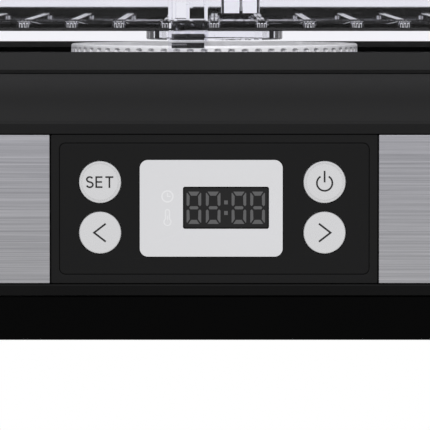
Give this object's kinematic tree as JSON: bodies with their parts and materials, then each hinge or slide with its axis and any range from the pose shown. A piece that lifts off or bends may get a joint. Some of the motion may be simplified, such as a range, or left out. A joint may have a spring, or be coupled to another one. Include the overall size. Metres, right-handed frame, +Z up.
{
  "type": "food dehydrator",
  "caption": "Countertop food dehydrator: black base with a steel band, digital panel and upward fan, under a stack of clear lift-off trays and a clear vented lid.",
  "frame": {"origin": "centre of the footprint, on the table under the rubber feet", "axes": "+X to the right seen from the front, +Y from the control panel to the back, +Z up"},
  "size_m": [0.33, 0.26, 0.2885],
  "materials": {
    "black_housing": "fine-grained satin",
    "panel_black": "satin",
    "panel_film": "smooth film",
    "window_grey": "smooth",
    "led_dark": "smooth filter",
    "key_grey": "satin",
    "brushed_steel": "brushed across",
    "dark_steel": "black coated",
    "bare_steel": "plain",
    "cap_white": "satin",
    "fan_plastic": "moulded",
    "rubber": "matte",
    "board_green": "solder mask",
    "bronze": "oiled",
    "mica": "layered",
    "nichrome": "heat-tinted",
    "wire_black": "sleeved",
    "clear_plastic": "clear, moulded"
  },
  "bodies": {
    "base": {"bottom_cover": "black_housing", "housing": "black_housing", "deck": "black_housing", "steel_band_left": "brushed_steel", "steel_band_right": "brushed_steel", "vent_grille": "dark_steel", "drip_cap": "cap_white", "cap_screw": "bare_steel", "control_panel": "panel_black", "panel_overlay": "panel_film", "display_window": "window_grey", "led_display": "led_dark", "control_board": "board_green", "motor_bracket": "bare_steel", "fan_motor": "dark_steel", "lower_bush": "bronze", "upper_bush": "bronze", "fan_shroud": "bare_steel", "air_duct": "bare_steel", "heater_frame": "mica", "heater_coil": "nichrome", "thermal_cutoff": "bare_steel", "temperature_sensor": "bare_steel", "power_board": "board_green", "mains_inlet": "black_housing", "mains_lead": "wire_black", "ribbon_cable": "wire_black", "motor_leads": "wire_black", "rubber_foot_front_left": "rubber", "housing_screw_front_left": "bare_steel", "bracket_screw_front_left": "bare_steel", "rubber_foot_front_right": "rubber", "housing_screw_front_right": "bare_steel", "bracket_screw_front_right": "bare_steel", "rubber_foot_rear_right": "rubber", "housing_screw_rear_right": "bare_steel", "bracket_screw_rear_right": "bare_steel", "rubber_foot_rear_left": "rubber", "housing_screw_rear_left": "bare_steel", "bracket_screw_rear_left": "bare_steel"},
    "button_set": {"button_set": "key_grey"},
    "button_down": {"button_down": "key_grey"},
    "button_power": {"button_power": "key_grey"},
    "button_up": {"button_up": "key_grey"},
    "fan_rotor": {"fan_impeller": "fan_plastic", "motor_shaft": "bare_steel"},
    "tray_1": {"tray_1": "clear_plastic"},
    "tray_2": {"tray_2": "clear_plastic"},
    "tray_3": {"tray_3": "clear_plastic"},
    "tray_4": {"tray_4": "clear_plastic"},
    "tray_5": {"tray_5": "clear_plastic"},
    "lid": {"lid": "clear_plastic"}
  },
  "joints": [
    {"name": "button_set_press", "type": "slide", "parent": "base", "child": "button_set", "axis": [0, 1, 0], "range_m": [0, 0.0008], "stiffness_N_per_m": 500, "springref_m": -0.0008},
    {"name": "button_down_press", "type": "slide", "parent": "base", "child": "button_down", "axis": [0, 1, 0], "range_m": [0, 0.0008], "stiffness_N_per_m": 500, "springref_m": -0.0008},
    {"name": "button_power_press", "type": "slide", "parent": "base", "child": "button_power", "axis": [0, 1, 0], "range_m": [0, 0.0008], "stiffness_N_per_m": 500, "springref_m": -0.0008},
    {"name": "button_up_press", "type": "slide", "parent": "base", "child": "button_up", "axis": [0, 1, 0], "range_m": [0, 0.0008], "stiffness_N_per_m": 500, "springref_m": -0.0008},
    {"name": "fan_spin", "type": "hinge", "parent": "base", "child": "fan_rotor", "pos_m": [0, 0, 0.063], "axis": [0, 0, 1], "continuous": true},
    {"name": "tray_1_lift", "type": "slide", "parent": "base", "child": "tray_1", "axis": [0, 0, 1], "range_m": [0, 0.05]},
    {"name": "tray_2_lift", "type": "slide", "parent": "tray_1", "child": "tray_2", "axis": [0, 0, 1], "range_m": [0, 0.05]},
    {"name": "tray_3_lift", "type": "slide", "parent": "tray_2", "child": "tray_3", "axis": [0, 0, 1], "range_m": [0, 0.05]},
    {"name": "tray_4_lift", "type": "slide", "parent": "tray_3", "child": "tray_4", "axis": [0, 0, 1], "range_m": [0, 0.05]},
    {"name": "tray_5_lift", "type": "slide", "parent": "tray_4", "child": "tray_5", "axis": [0, 0, 1], "range_m": [0, 0.05]},
    {"name": "lid_lift", "type": "slide", "parent": "tray_5", "child": "lid", "axis": [0, 0, 1], "range_m": [0, 0.06]}
  ]
}
